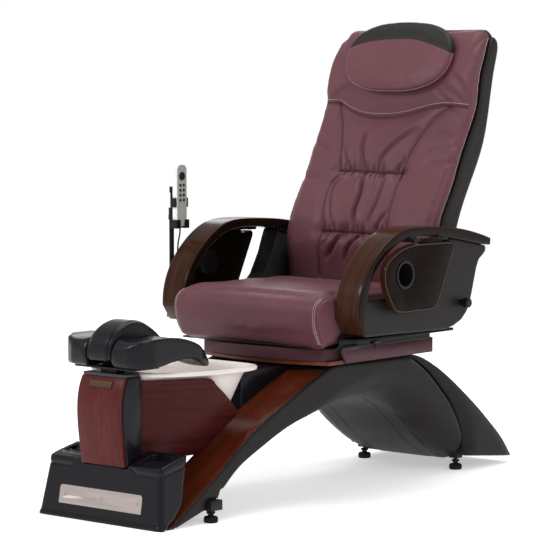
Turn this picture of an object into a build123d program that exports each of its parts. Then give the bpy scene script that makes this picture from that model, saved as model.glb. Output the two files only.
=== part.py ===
"""Pedicure spa chair: a massage chair on an arched base, with a foot bowl and a footrest on a pillar.

Units are millimetres.  Side-view points are (distance behind the front edge of the base, height).
+X is the sitter's left, +Y is towards the back of the chair and the floor is Z = 0.
"""
import os
from math import cos, pi, radians, sin, tan

from build123d import *

os.makedirs("parts", exist_ok=True)

# ---------------------------------------------------------------- driving dimensions
FRONT_Y = -820.0          # front edge of the base in the chair's frame
SHELL_X = 235.0           # outer face of the base shells
RAMP_IN = 98.0            # inner edge of the ramp boards
WALL = 4.0                # moulded shell wall
PILLAR_X = 85.0           # half width of the pillar
PILLAR_FOOT = 158.0
PILLAR_TOP = 403.0
BOWL_RIM = 414.0          # top of the foot bowl
PLATFORM_Z = 389.0        # top of the arched base
SEAT_X = 287.0            # half width of the seat cushion
ARM_IN, ARM_OUT = 292.0, 381.0
PANEL_IN, PANEL_OUT = 300.0, 365.0
TRAY_IN, TRAY_OUT = 386.0, 402.0
BACK_X = 288.0            # half width of the backrest
PIVOT = (1176.0, 548.0)   # recline axis in side view
CUP_R = 37.0
FOOT_R = 20.0
MAST = (-400.0, 733.0)    # handset mast in plan (x, distance behind the front)
GAP = 0.3                 # clearance between soft pieces and their neighbours


# ---------------------------------------------------------------- helpers
def side_plane(x):
    """Side-view plane at x: local x runs to the back, local y runs up."""
    return Plane(origin=(x, FRONT_Y, 0), x_dir=(0, 1, 0), z_dir=(1, 0, 0))


def outline(plane, *runs):
    """Closed face on a plane: runs of two points are straight, longer runs are smooth."""
    with BuildSketch(plane) as face:
        with BuildLine():
            for run in runs:
                if len(run) == 2:
                    Line(*run)
                else:
                    Spline(*run)
        make_face()
    return face.sketch


def polygon(plane, *points):
    """Closed straight-edged face on a plane."""
    with BuildSketch(plane) as face:
        with BuildLine():
            Polyline(*points, close=True)
        make_face()
    return face.sketch


def inset(face, amount):
    """The same face with its outline moved inwards."""
    return offset(face, amount=-amount, kind=Kind.INTERSECTION)


def plan(z):
    """Level plane at a height, with its origin on the front edge of the base."""
    return Plane(origin=(0, FRONT_Y, z), z_dir=(0, 0, 1))


def box(x, y, z):
    """Block between two values of x, of y behind the front, and of z."""
    size = (x[1] - x[0], y[1] - y[0], z[1] - z[0])
    centre = ((x[0] + x[1]) / 2, FRONT_Y + (y[0] + y[1]) / 2, (z[0] + z[1]) / 2)
    return Pos(*centre) * Box(*size, mode=Mode.PRIVATE)


def rod(start, end, radius):
    """Round bar between two points given as (x, distance behind the front, z)."""
    first = Vector(start[0], FRONT_Y + start[1], start[2])
    last = Vector(end[0], FRONT_Y + end[1], end[2])
    along = last - first
    with BuildSketch(Plane(origin=first, z_dir=along)) as disc:
        Circle(radius)
    return extrude(disc.sketch, amount=along.length, mode=Mode.PRIVATE)


def save(piece, name):
    piece.label = name
    export_step(piece, f"parts/{name}.step")


def save_pair(left, name):
    """Write a piece made on the +X side, the sitter's left, and its mirror image."""
    with BuildPart() as right:
        mirror(left, about=Plane.YZ)
    save(left, f"{name}_left")
    save(right.part, f"{name}_right")


# ---------------------------------------------------------------- shared side-view curves
RAMP_TOP = [(36, 2), (112, 48), (274, 156), (384, 230), (520, 297), (613, 339), (700, 374)]
ARCH = [(262, 89), (328, 139), (429, 185), (532, 225), (642, 252), (850, 275), (1010, 262),
        (1130, 200), (1204, 137), (1298, 72), (1376, 34)]
GROOVE = [(1122, 375), (1200, 327), (1265, 269), (1318, 216), (1365, 138), (1379, 80)]
TAIL = [(1102, PLATFORM_Z), (1167, 375), (1232, 342), (1338, 263), (1433, 185), (1543, 99), (1641, 18)]
ARM_TOP = [(668, 531), (684, 618), (758, 715), (854, 772), (997, 783), (1143, 772), (1305, 735)]
ARM_UNDER = [(1303, 713), (1160, 737), (991, 757), (881, 750), (800, 712), (731, 644), (705, 544),
             (700, 485)]
BACK_FRONT = [(1149, 562), (1134, 655), (1125, 718), (1135, 765), (1169, 836), (1222, 918),
              (1265, 1001), (1312, 1091), (1328, 1170), (1341, 1227), (1364, 1273), (1400, 1325),
              (1436, 1358)]
BACK_SEAM = [(1455, 1354), (1425, 1300), (1388, 1215), (1372, 1130), (1342, 1065), (1285, 960),
             (1245, 880), (1196, 800), (1175, 740), (1170, 660), (1168, 562)]
BACK_REAR = [(1458, 1352), (1472, 1310), (1463, 1282), (1434, 1178), (1393, 1014), (1310, 864),
             (1262, 766), (1240, 690), (1232, 600)]


# ---------------------------------------------------------------- front base, pillar and badge
BASE_SIDE = [(14, 0), (0, 0), (27, 167), (60, 177), (131, 193), (128, 168), (111, 116), (98, 66),
             (63, 28)]
plate_plane = Plane(origin=(0, FRONT_Y + 10.4, 65), x_dir=(1, 0, 0), z_dir=(0, -1, 0.161))
with BuildPart() as kick_base:
    extrude(polygon(side_plane(-240), *BASE_SIDE), amount=480)
    front_view = polygon(Plane.XZ.offset(-FRONT_Y + 20), (-236, 0), (236, 0), (209, 200), (-209, 200))
    extrude(front_view, amount=-200, mode=Mode.INTERSECT)
    upright = kick_base.edges().filter_by(lambda e: abs(e.tangent_at(0.5).Z) > 0.9)
    fillet(upright.group_by(Axis.Y)[0], radius=14)
    add(box((-PILLAR_X - 1.5, PILLAR_X + 1.5), (-20, 87.5), (PILLAR_FOOT, 220)), mode=Mode.SUBTRACT)
    with BuildSketch(plan(174)):
        with Locations((-150, 86), (150, 86)):
            RectangleRounded(94, 66, 14)
    extrude(amount=60, mode=Mode.SUBTRACT)
    add(box((-200, 200), (31, 96), (-5, 140)), mode=Mode.SUBTRACT)
    with BuildSketch(plate_plane.offset(-8)):
        with GridLocations(138, 1, 3, 1):
            Circle(1.95)
    extrude(amount=12, mode=Mode.SUBTRACT)
save(kick_base.part, "kick_base")

with BuildPart() as kick_plate:
    with BuildSketch(plate_plane):
        Rectangle(314, 52)
    extrude(amount=2)
    corners = kick_plate.edges().filter_by(lambda e: e.length < 2.1)
    fillet(corners.group_by(Axis.Z)[-1], radius=10)
    with BuildSketch(plate_plane.offset(-1)):
        with GridLocations(138, 1, 3, 1):
            Circle(2.2)
    extrude(amount=5, mode=Mode.SUBTRACT)
save(kick_plate.part, "kick_plate")

with BuildPart() as kick_plate_screws:
    with BuildSketch(plate_plane.offset(-5)):
        with GridLocations(138, 1, 3, 1):
            Circle(1.9)
    extrude(amount=7)
    with BuildSketch(plate_plane.offset(2)):
        with GridLocations(138, 1, 3, 1):
            Circle(4)
    extrude(amount=1.6)
    with BuildSketch(plate_plane.offset(2.6)):
        with GridLocations(138, 1, 3, 1):
            Rectangle(5, 1)
            Rectangle(1, 5)
    extrude(amount=3, mode=Mode.SUBTRACT)
save(kick_plate_screws.part, "kick_plate_screws")

PILLAR_FACE = [(25, PILLAR_TOP), (8, 363), (2, 302), (8, 232), (20, PILLAR_FOOT)]
PANEL_THICK = 12
with BuildPart() as pillar_panel:
    behind = [(y + PANEL_THICK, z) for y, z in reversed(PILLAR_FACE)]
    extrude(outline(side_plane(-81), PILLAR_FACE, [PILLAR_FACE[-1], behind[0]], behind,
                    [behind[-1], PILLAR_FACE[0]]), amount=162)
save(pillar_panel.part, "pillar_panel")

with BuildPart() as pillar_body:
    back = [(y + PANEL_THICK, z) for y, z in PILLAR_FACE]
    extrude(outline(side_plane(-PILLAR_X), back, [back[-1], (86, PILLAR_FOOT)],
                    [(86, PILLAR_FOOT), (86, PILLAR_TOP)], [(86, PILLAR_TOP), back[0]]),
            amount=2 * PILLAR_X)
    add(box((-78, 78), (40, 81), (PILLAR_FOOT - 5, PILLAR_TOP + 5)), mode=Mode.SUBTRACT)
save(pillar_body.part, "pillar_body")

with BuildPart() as pillar_cap:
    add(box((-80, 80), (26, 86), (PILLAR_TOP, PILLAR_TOP + 9)))
    add(box((-31, 31), (44, 76), (PILLAR_TOP - 1, PILLAR_TOP + 12)), mode=Mode.SUBTRACT)
save(pillar_cap.part, "pillar_cap")

with BuildPart() as name_plate:
    plate = Plane(origin=(0, FRONT_Y + 13.2, 382), x_dir=(1, 0, 0), z_dir=(0, -1, 0.42))
    with BuildSketch(plate):
        RectangleRounded(84, 20, 2)
    extrude(amount=1.6)
save(name_plate.part, "name_plate")


# ---------------------------------------------------------------- footrest
POST_Z = 236.0
with BuildPart() as footrest_post:
    add(box((-30, 30), (45, 75), (POST_Z, 424)))
    add(box((-26, 26), (49, 71), (POST_Z - 5, 418)), mode=Mode.SUBTRACT)
    add(box((-112, 112), (26, 130), (424, 429)))
    add(box((-40, 40), (60, 150), (428, 446)))
save(footrest_post.part, "footrest_post")

SADDLE_TOP = [(4, 450), (14, 505), (45, 534), (112, 551), (178, 526), (222, 490)]
with BuildPart() as footrest_saddle:
    extrude(outline(side_plane(-46), SADDLE_TOP, [(222, 490), (222, 447)], [(222, 447), (4, 450)]),
            amount=92)
    long_edges = footrest_saddle.edges().filter_by(GeomType.BSPLINE)
    fillet(long_edges, radius=7)
save(footrest_saddle.part, "footrest_saddle")

PAD_TOP = [(6, 440), (10, 490), (30, 510), (90, 517), (156, 510), (240, 488), (283, 462), (321, 418)]
PAD_UNDER = [(321, 418), (291, 417), (219, 444), (177, 446), (120, 438), (60, 430)]
with BuildPart() as footrest_pad:
    extrude(outline(side_plane(47.5), PAD_TOP, PAD_UNDER, [(60, 430), (14, 430)],
                    [(14, 430), (6, 440)]), amount=110)
    with BuildSketch(plan(400)):
        with BuildLine():
            Polyline((40, 0), (108, 8), (140, 26), (157.5, 62), (157.5, 250), (128, 326), (100, 326),
                     (40, 235), close=True)
        make_face()
    extrude(amount=160, mode=Mode.INTERSECT)
    with BuildSketch(Plane(origin=(98, FRONT_Y, 640), x_dir=(1, 0, 0), z_dir=(0, 1, 0))):
        Circle(138)
    extrude(amount=400, mode=Mode.SUBTRACT)
save_pair(footrest_pad.part, "footrest_pad")


# ---------------------------------------------------------------- foot bowl, its veneered sides and base shells
def tub_outline(z, grow):
    """Level section of the tapered tub at a height, grown outwards by an amount."""
    rise = (z - 150) / (392 - 150)
    half_front = 60 + 26 * rise
    half_back = 98 + 105 * rise
    cheek = half_front + 0.5 * (half_back - half_front)
    shoulder = 300 - 20 * rise
    rear = 370 + 78 * rise
    with BuildSketch(plan(z)) as section:
        with BuildLine():
            Polyline((-half_front, 92), (half_front, 92), (cheek, 92 + 0.33 * (shoulder - 92)),
                     (half_back, shoulder), (half_back, rear - 60), (half_back - 50, rear),
                     (50 - half_back, rear), (-half_back, rear - 60), (-half_back, shoulder),
                     (-cheek, 92 + 0.33 * (shoulder - 92)), close=True)
        make_face()
        fillet(section.vertices(), radius=24)
        if grow:
            offset(amount=grow)
    return section.sketch


BOWL_FLOOR = 236.0
with BuildPart() as foot_bowl:
    loft([tub_outline(BOWL_FLOOR, -10), tub_outline(BOWL_RIM, -10)])
    extrude(tub_outline(BOWL_RIM - 6, 10), amount=6)
    add(box((-PILLAR_X - 3, PILLAR_X + 3), (60, 88), (BOWL_FLOOR, BOWL_RIM + 2)), mode=Mode.SUBTRACT)
    loft([tub_outline(BOWL_FLOOR + 5, -15), tub_outline(BOWL_RIM + 1, -15)], mode=Mode.SUBTRACT)
    with Locations((0, FRONT_Y + 300, BOWL_FLOOR)):
        Cylinder(18.4, 40, mode=Mode.SUBTRACT)
save(foot_bowl.part, "foot_bowl")

with BuildPart() as bowl_drain:
    with Locations((0, FRONT_Y + 300, BOWL_FLOOR + 5)):
        Cylinder(25, 3, align=(Align.CENTER, Align.CENTER, Align.MIN))
    with Locations((0, FRONT_Y + 300, BOWL_FLOOR - 22)):
        Cylinder(18, 27, align=(Align.CENTER, Align.CENTER, Align.MIN))
    with Locations((0, FRONT_Y + 300, BOWL_FLOOR)):
        with PolarLocations(11, 8):
            Cylinder(2.2, 60, mode=Mode.SUBTRACT)
save(bowl_drain.part, "bowl_drain")

PANEL_SIDE = [(90, 200), (90, 392), (270, 392), (404, 288), (285, 171), (135, 171), (135, 200)]
with BuildPart() as bowl_panel:
    loft([tub_outline(155, 0), tub_outline(392, 0)])
    loft([tub_outline(154, -8.5), tub_outline(393, -8.5)], mode=Mode.SUBTRACT)
    extrude(polygon(side_plane(62), *PANEL_SIDE), amount=180, mode=Mode.INTERSECT)
save_pair(bowl_panel.part, "bowl_panel")

BOARD = 12.0
with BuildPart() as ramp_board:
    below = [(y + 4, z - BOARD) for y, z in reversed(RAMP_TOP)]
    extrude(outline(side_plane(RAMP_IN), RAMP_TOP, [RAMP_TOP[-1], below[0]], below,
                    [below[-1], RAMP_TOP[0]]), amount=SHELL_X - WALL - 1 - RAMP_IN)
    # The lower end is cut off level, just clear of the floor
    add(box((RAMP_IN - 5, SHELL_X), (-20, 160), (-40, 0.5)), mode=Mode.SUBTRACT)
save_pair(ramp_board.part, "ramp_board")


def shell_side():
    """Side view of a base shell: ramp, level top, rear groove and the arch underneath."""
    ramp_edge = [(y, z + 3) for y, z in RAMP_TOP]
    return outline(side_plane(RAMP_IN), ramp_edge, [ramp_edge[-1], (748, PLATFORM_Z)],
                   [(748, PLATFORM_Z), (1095, PLATFORM_Z)], [(1095, PLATFORM_Z), GROOVE[0]], GROOVE,
                   [GROOVE[-1], (1376, 34)], list(reversed(ARCH)), [ARCH[0], (246, 86)],
                   [(246, 86), (236, 63)], [(236, 63), (186, 63)], [(186, 63), (186, 38)],
                   [(186, 38), (60, 0.5)], [(60, 0.5), ramp_edge[0]])


SHELL_HOLLOW = [(432, 228), (528, 277), (621, 319), (708, 354), (748, 377), (1095, 377), (1186, 318),
                (1252, 262), (1304, 208), (1349, 136), (1362, 62), (1308, 78), (1214, 146),
                (1136, 212), (1014, 272), (850, 285), (642, 262), (532, 236), (436, 199)]
with BuildPart() as side_shell:
    skin = shell_side()
    extrude(skin, amount=SHELL_X - RAMP_IN)
    extrude(polygon(side_plane(RAMP_IN - 5), *SHELL_HOLLOW), amount=SHELL_X - WALL - RAMP_IN + 5,
            mode=Mode.SUBTRACT)
    cover = [(y + 4, z - BOARD - 0.2) for y, z in RAMP_TOP]
    above = outline(side_plane(RAMP_IN - 5), cover, [cover[-1], (cover[-1][0], 480)],
                    [(cover[-1][0], 480), (0, 480)], [(0, 480), cover[0]])
    extrude(above, amount=SHELL_X - WALL - RAMP_IN + 5, mode=Mode.SUBTRACT)
save_pair(side_shell.part, "side_shell")

TUCK = 6.0
with BuildPart() as rear_cover:
    groove = [(y + TUCK, z + 2) for y, z in GROOVE]
    face = outline(side_plane(-SHELL_X - 2), TAIL, [TAIL[-1], (groove[-1][0], 47)],
                   [(groove[-1][0], 47), groove[-1]], list(reversed(groove)), [groove[0], TAIL[0]])
    extrude(face, amount=2 * SHELL_X + 4)
    core = polygon(side_plane(-SHELL_X + 3), (1150, 365), (1232, 330), (1335, 250), (1430, 172),
                   (1540, 84), (1600, 20), (1560, -10), (1366, -10), (1366, 150), (1318, 225),
                   (1266, 278), (1200, 336))
    extrude(core, amount=2 * SHELL_X - 6, mode=Mode.SUBTRACT)
save(rear_cover.part, "rear_cover")

LINER = 4.0
with BuildPart() as arch_liner:
    ceiling = ARCH[4:]
    above = [(y + 2, z + LINER) for y, z in reversed(ceiling)]
    extrude(outline(side_plane(-RAMP_IN + 0.5), ceiling, [ceiling[-1], above[0]], above,
                    [above[-1], ceiling[0]]), amount=2 * RAMP_IN - 1)
save(arch_liner.part, "arch_liner")


# ---------------------------------------------------------------- steel frame, feet and drive housing
FRONT_FOOT = (231.0, 207.0)
REAR_FOOT = (181.0, 1401.0)
with BuildPart() as base_frame:
    for x in (-75, 75):
        rail = polygon(side_plane(x - 15), (190, 40), (228, 40), (640, 320), (1090, 330), (1340, 110),
                       (1388, 68), (1412, 68), (1120, 362), (640, 348), (190, 76))
        extrude(rail, amount=30)
    add(box((-250, 250), (188, 234), (34, 62)))
    add(box((-200, 200), (1385, 1418), (62, 80)))
    for start in (655, 1040):
        add(box((-80, 80), (start, start + 30), (328, 345)))
    add(box((-80, 80), (240, 252), (80, 212)))
    add(box((-78, 78), (180, 350), (206, 212)))
    for x in (-REAR_FOOT[0], REAR_FOOT[0]):
        add(box((x - 16, x + 16), (1387, 1415), (36, 70)))
    for x, y in (FRONT_FOOT, REAR_FOOT):
        with Locations((x, FRONT_Y + y, 45), (-x, FRONT_Y + y, 45)):
            Cylinder(5.08, 40, mode=Mode.SUBTRACT)
    add(rod((0, 300, 200), (0, 300, 220), 30), mode=Mode.SUBTRACT)
save(base_frame.part, "base_frame")

FEET = {"front_left": (1, FRONT_FOOT), "front_right": (-1, FRONT_FOOT),
        "rear_left": (1, REAR_FOOT), "rear_right": (-1, REAR_FOOT)}
for corner, (sign, place) in FEET.items():
    with BuildPart() as levelling_foot:
        with BuildSketch(Plane(origin=(sign * place[0], FRONT_Y + place[1], 0), x_dir=(1, 0, 0),
                               z_dir=(0, -1, 0))):
            with BuildLine():
                Polyline((0, 0), (FOOT_R - 2, 0), (FOOT_R, 3), (FOOT_R, 13), (FOOT_R - 3, 17),
                         (9, 17), (7, 24), (12, 25), (12, 30), (5, 31), (5, 60), (0, 60), close=True)
            make_face()
        revolve(axis=Axis((sign * place[0], FRONT_Y + place[1], 0), (0, 0, 1)))
    save(levelling_foot.part, f"levelling_foot_{corner}")

with BuildPart() as pedestal_housing:
    extrude(polygon(side_plane(-RAMP_IN + 1), (486, 270), (486, 384), (728, 384), (613, 333)),
            amount=2 * RAMP_IN - 2)
    extrude(polygon(side_plane(-RAMP_IN + 5), (491, 240), (491, 380), (745, 380), (745, 240)),
            amount=2 * RAMP_IN - 10, mode=Mode.SUBTRACT)
save(pedestal_housing.part, "pedestal_housing")


# ---------------------------------------------------------------- upholstered platform and slide rails
BOARD_Z = (PLATFORM_Z, PLATFORM_Z + 12)


def bow(z, inner, half, sides, middle):
    """Plan outline from the back of the platform to its bowed front edge."""
    return outline(plan(z), [(-half, inner), (half, inner)], [(half, inner), (half, sides)],
                   [(half, sides), (0, middle), (-half, sides)], [(-half, sides), (-half, inner)])


with BuildPart() as platform_board:
    extrude(bow(BOARD_Z[0], 1186, 244, 700, 655), amount=12)
save(platform_board.part, "platform_board")

with BuildPart() as platform_apron:
    extrude(bow(BOARD_Z[1], 800, 232, 692, 643), amount=37)
    extrude(bow(BOARD_Z[1] - 1, 820, 222, 706, 657), amount=50, mode=Mode.SUBTRACT)
save(platform_apron.part, "platform_apron")

with BuildPart() as platform_skirt:
    extrude(polygon(side_plane(244.5), (746, 436), (772, 391), (1186, 391), (1186, 436)), amount=8)
save_pair(platform_skirt.part, "platform_skirt")

with BuildPart() as slide_rails:
    for x in (-195, 195):
        add(box((x - 18, x + 18), (730, 1150), (401, 405)))
        add(box((x - 8, x + 8), (730, 1150), (405, 424)))
save(slide_rails.part, "slide_rails")

with BuildPart() as power_inlet:
    add(box((90, 150), (1150, 1188), (401, 431)))
    add(box((105, 135), (1168, 1190), (406, 426)), mode=Mode.SUBTRACT)
    for x in (113, 120, 127):
        add(box((x - 1, x + 1), (1167, 1182), (412, 420)))
save(power_inlet.part, "power_inlet")


# ---------------------------------------------------------------- seat
PAN = (440.0, 445.0)
SEAT_BASE = PAN[1] + GAP
SEAT_TOP = [(632, SEAT_BASE), (608, 490), (597, 534), (606, 576), (640, 595), (700, 598), (893, 598),
            (1000, 596), (1090, 593), (1124, 584)]
with BuildPart() as seat_cushion:
    extrude(outline(side_plane(-SEAT_X), SEAT_TOP, [SEAT_TOP[-1], (1096, SEAT_BASE)],
                    [(1096, SEAT_BASE), SEAT_TOP[0]]), amount=2 * SEAT_X)
save(seat_cushion.part, "seat_cushion")

with BuildPart() as seat_frame:
    add(box((-292, 292), (665, 1120), PAN))
    add(box((-18, 18), (1050, 1130), (430, 450)), mode=Mode.SUBTRACT)
    for x in (-195, 195):
        add(box((x - 14, x + 14), (780, 1118), (410, 440)))
        add(box((x - 8.6, x + 8.6), (770, 1130), (405, 424.6)), mode=Mode.SUBTRACT)
    for side in (-1, 1):
        web = sorted((side * 288.5, side * 291.5))
        flange = sorted((side * 288.5, side * 345))
        bracket = sorted((side * 291.5, side * 297.5))
        add(box(web, (690, 1120), (PAN[0], 472)))
        add(box(web, (698, 726), (PAN[0], 530)))
        add(box(flange, (705, 1165), (464, 472)))
        add(box(bracket, (1110, 1206), (464, 582)))
        with BuildSketch(side_plane(side * 280)):
            with Locations(PIVOT):
                Circle(8.06)
        extrude(amount=side * 30, mode=Mode.SUBTRACT)
    add(box((336, 354), (776, 804), (456.5, 464)))
    add(rod((345, 790, 440), (345, 790, 463), 3.05), mode=Mode.SUBTRACT)
save(seat_frame.part, "seat_frame")

with BuildPart() as slide_lever:
    add(box((342, 348), (640, 798), (452, 456)))
    with BuildSketch(Plane(origin=(345, FRONT_Y + 700, 454), x_dir=(1, 0, 0), z_dir=(0, -1, 0))):
        Ellipse(11, 8)
    extrude(amount=72)
    add(rod((345, 790, 440), (345, 790, 462), 3.0))
    add(rod((345, 790, 448), (345, 790, 452), 8))
save(slide_lever.part, "slide_lever")


# ---------------------------------------------------------------- arms, side panels and flip-up trays
with BuildPart() as arm:
    extrude(outline(side_plane(ARM_IN), ARM_TOP, [ARM_TOP[-1], ARM_UNDER[0]], ARM_UNDER,
                    [ARM_UNDER[-1], ARM_TOP[0]]), amount=ARM_OUT - ARM_IN)
save_pair(arm.part, "arm")

PANEL_EDGE = [(720, 479), (1102, 473), (1142, 480), (1182, 496), (1211, 523), (1228, 560), (1256, 650),
              (1268, 672), (1300, 691), (1302, 706), (1247, 716), (1160, 732), (1120, 738), (1088, 668),
              (1052, 606), (1036, 591), (1012, 586), (730, 583), (714, 560), (708, 500)]
panel_face = polygon(side_plane(PANEL_IN), *PANEL_EDGE)
panel_hollow = inset(panel_face, WALL).moved(Location((-5, 0, 0)))
with BuildPart() as side_panel:
    extrude(panel_face, amount=PANEL_OUT - PANEL_IN)
    extrude(panel_hollow, amount=PANEL_OUT - PANEL_IN + 1, mode=Mode.SUBTRACT)
    with BuildSketch(side_plane(PANEL_OUT - WALL)):
        with Locations(PIVOT):
            Circle(14)
    extrude(amount=-16)
    with BuildSketch(side_plane(PANEL_OUT - 25)):
        with Locations(PIVOT):
            Circle(6.06)
    extrude(amount=30, mode=Mode.SUBTRACT)
save_pair(side_panel.part, "side_panel")

with BuildPart() as pivot_knob:
    pivot_axis = Plane(origin=(PANEL_OUT - 22, FRONT_Y + PIVOT[0], PIVOT[1]), z_dir=(1, 0, 0))
    with BuildSketch(pivot_axis):
        Circle(6)
    extrude(amount=24)
    with BuildSketch(pivot_axis.offset(22.5)):
        Circle(9)
    extrude(amount=12)
    with BuildSketch(pivot_axis.offset(34)):
        Circle(14.5)
    extrude(amount=20)
    fillet(pivot_knob.edges().group_by(Axis.X)[-1], radius=5)
save_pair(pivot_knob.part, "pivot_knob")

HINGE = (390.0, 746.0)    # tray hinge axis (x, z)
KNUCKLES = ((905, 935), (1040, 1070))
CUP = (856.0, 652.0)
TRAY_RUNS = ([(905, 739), (1075, 737)], [(1075, 737), (1090, 732), (1090, 716)], [(1090, 716), (1016, 564)],
             [(1016, 564), (1001, 546), (975, 541)], [(975, 541), (850, 541)],
             [(850, 541), (812, 548), (786, 579), (765, 618), (759, 652), (770, 686), (803, 711),
              (850, 730), (905, 739)])
with BuildPart() as tray:
    with BuildSketch(side_plane(TRAY_IN)):
        add(outline(Plane.XY, *TRAY_RUNS))
        with Locations(CUP):
            Circle(CUP_R, mode=Mode.SUBTRACT)
    extrude(amount=TRAY_OUT - TRAY_IN)
    add(rod((HINGE[0], 937, HINGE[1]), (HINGE[0], 1038, HINGE[1]), 6))
    add(box((HINGE[0] - 3, HINGE[0] + 6), (937, 1038), (725, HINGE[1])))
    for start, end in KNUCKLES:
        add(rod((HINGE[0], start - 1, HINGE[1]), (HINGE[0], end + 1, HINGE[1]), 15),
            mode=Mode.SUBTRACT)
    add(rod((HINGE[0], 900, HINGE[1]), (HINGE[0], 1080, HINGE[1]), 3.06), mode=Mode.SUBTRACT)
save_pair(tray.part, "tray")

with BuildPart() as cup_holder:
    cup_axis = Plane(origin=(TRAY_OUT, FRONT_Y + CUP[0], CUP[1]), z_dir=(-1, 0, 0))
    with BuildSketch(cup_axis.offset(-2)):
        Circle(CUP_R + 4)
    extrude(amount=2)
    with BuildSketch(cup_axis):
        Circle(CUP_R - 0.2)
    extrude(amount=52)
    with BuildSketch(cup_axis.offset(-3)):
        Circle(CUP_R - 3)
    extrude(amount=52, mode=Mode.SUBTRACT)
save_pair(cup_holder.part, "cup_holder")

with BuildPart() as tray_hinges:
    for start, end in KNUCKLES:
        add(box((352, HINGE[0]), (start, end), (742, 763)))
        add(box((382, 400), (start, end), (752, 770)), mode=Mode.SUBTRACT)
    add(arm.part, mode=Mode.SUBTRACT)
    for start, end in KNUCKLES:
        add(rod((HINGE[0], start, HINGE[1]), (HINGE[0], end, HINGE[1]), 6))
    add(rod((HINGE[0], 905, HINGE[1]), (HINGE[0], 1070, HINGE[1]), 3))
    mirror(tray_hinges.part, about=Plane.YZ)
save(tray_hinges.part, "tray_hinges")


# ---------------------------------------------------------------- backrest with its massage drive
with BuildPart() as back_cushion:
    rear = [(y - 2 * GAP, z) for y, z in BACK_SEAM]
    extrude(outline(side_plane(-BACK_X), BACK_FRONT, [BACK_FRONT[-1], rear[0]], rear,
                    [rear[-1], BACK_FRONT[0]]), amount=2 * BACK_X)
save(back_cushion.part, "back_cushion")

BACK_HOLLOW = [(1130, 560), (1226, 560), (1233, 690), (1255, 766), (1303, 864), (1386, 1014),
               (1426, 1178), (1452, 1282), (1452, 1330), (1380, 1330), (1330, 1200), (1300, 1100),
               (1230, 950), (1150, 800)]
with BuildPart() as back_shell:
    extrude(outline(side_plane(-BACK_X), BACK_SEAM, [BACK_SEAM[-1], (1184, 590)],
                    [(1184, 590), BACK_REAR[-1]], list(reversed(BACK_REAR)),
                    [BACK_REAR[0], BACK_SEAM[0]]), amount=2 * BACK_X)
    extrude(polygon(side_plane(-270), *BACK_HOLLOW), amount=540, mode=Mode.SUBTRACT)
save(back_shell.part, "back_shell")

LEAN = radians(27)         # massage rails from the vertical
sin_lean, cos_lean = sin(LEAN), cos(LEAN)
PLATE = (1254.0, 790.0)    # centre of the massage carriage plate
ROLLER = (PLATE[0] - 26 * cos_lean, PLATE[1] + 26 * sin_lean)


def along(start, up, forward):
    """Side-view point measured up the massage rails and forward of them."""
    return (start[0] + up * sin_lean - forward * cos_lean, start[1] + up * cos_lean + forward * sin_lean)


RAIL_TOP = 270.0           # end of the massage rails above the plate's rest place
LUG = (1198.0, 425.0)
with BuildPart() as back_frame:
    cheek = [(1166, 536), (1194, 536), (1224, 640), (1246, 766), (1294, 864), (1374, 1014), (1404, 1130),
             (1385, 1130), (1354, 1020), (1270, 864), (1215, 766), (1200, 660)]
    for side in (-1, 1):
        start = 262 if side > 0 else -267
        extrude(polygon(side_plane(start), *cheek), amount=5)
        add(rod((side * 262, *PIVOT), (side * 298, *PIVOT), 8))
    add(rod((-262, *PIVOT), (262, *PIVOT), 12))
    for place, radius in (((1208, 692), 8), (along(PLATE, RAIL_TOP, 0), 7)):
        add(rod((-262, *place), (262, *place), radius))
    low = along(PLATE, -114, 0)
    high = along(PLATE, RAIL_TOP, 0)
    for side in (-1, 1):
        start = 101 if side > 0 else -109
        rail = polygon(side_plane(start), along(low, 0, -4), along(low, 0, 4), along(high, 0, 4),
                       along(high, 0, -4))
        extrude(rail, amount=8)
    lever = polygon(side_plane(-6), (1162, 548), (1190, 548), (1214, 428), (1210, 410), (1190, 407),
                    (1184, 420))
    extrude(lever, amount=12)
    with BuildSketch(side_plane(-10)):
        with Locations(LUG):
            SlotOverall(30, 15.4, rotation=100)
    extrude(amount=20, mode=Mode.SUBTRACT)
save(back_frame.part, "back_frame")

with BuildPart() as massage_carriage:
    plate_face = polygon(side_plane(-100), along(PLATE, -60, -6), along(PLATE, -60, 6),
                         along(PLATE, 60, 6), along(PLATE, 60, -6))
    extrude(plate_face, amount=200)
    for x in (-98, 92):
        ear = polygon(side_plane(x), along(PLATE, -14, 5), along(PLATE, -10, 34),
                      along(PLATE, 10, 34), along(PLATE, 14, 5))
        extrude(ear, amount=6)
    add(rod((-100, *ROLLER), (100, *ROLLER), 5.06), mode=Mode.SUBTRACT)
    for x in (-25, 25):
        motor = polygon(side_plane(x - 20), along(PLATE, -55, 5), along(PLATE, -55, 22),
                        along(PLATE, -26, 22), along(PLATE, -26, 5))
        extrude(motor, amount=40)
save(massage_carriage.part, "massage_carriage")

with BuildPart() as massage_rollers:
    add(rod((-98, *ROLLER), (98, *ROLLER), 5))
    for x in (-66, 66):
        add(rod((x - 16, *ROLLER), (x + 16, *ROLLER), 18))
save(massage_rollers.part, "massage_rollers")

with BuildPart() as actuator_body:
    add(box((-30, 30), (830, 1000), (403, 440)))
    add(rod((0, 845, LUG[1]), (0, 1005, LUG[1]), 8.06), mode=Mode.SUBTRACT)
save(actuator_body.part, "actuator_body")

with BuildPart() as actuator_rod:
    add(rod((0, 925, LUG[1]), (0, 1170, LUG[1]), 8))
    add(box((-14, 14), (1160, 1206), (LUG[1] - 9, LUG[1] + 9)))
    add(box((-7, 7), (1170, 1220), (LUG[1] - 20, LUG[1] + 20)), mode=Mode.SUBTRACT)
    add(rod((-14, *LUG), (14, *LUG), 6))
save(actuator_rod.part, "actuator_rod")

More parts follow.
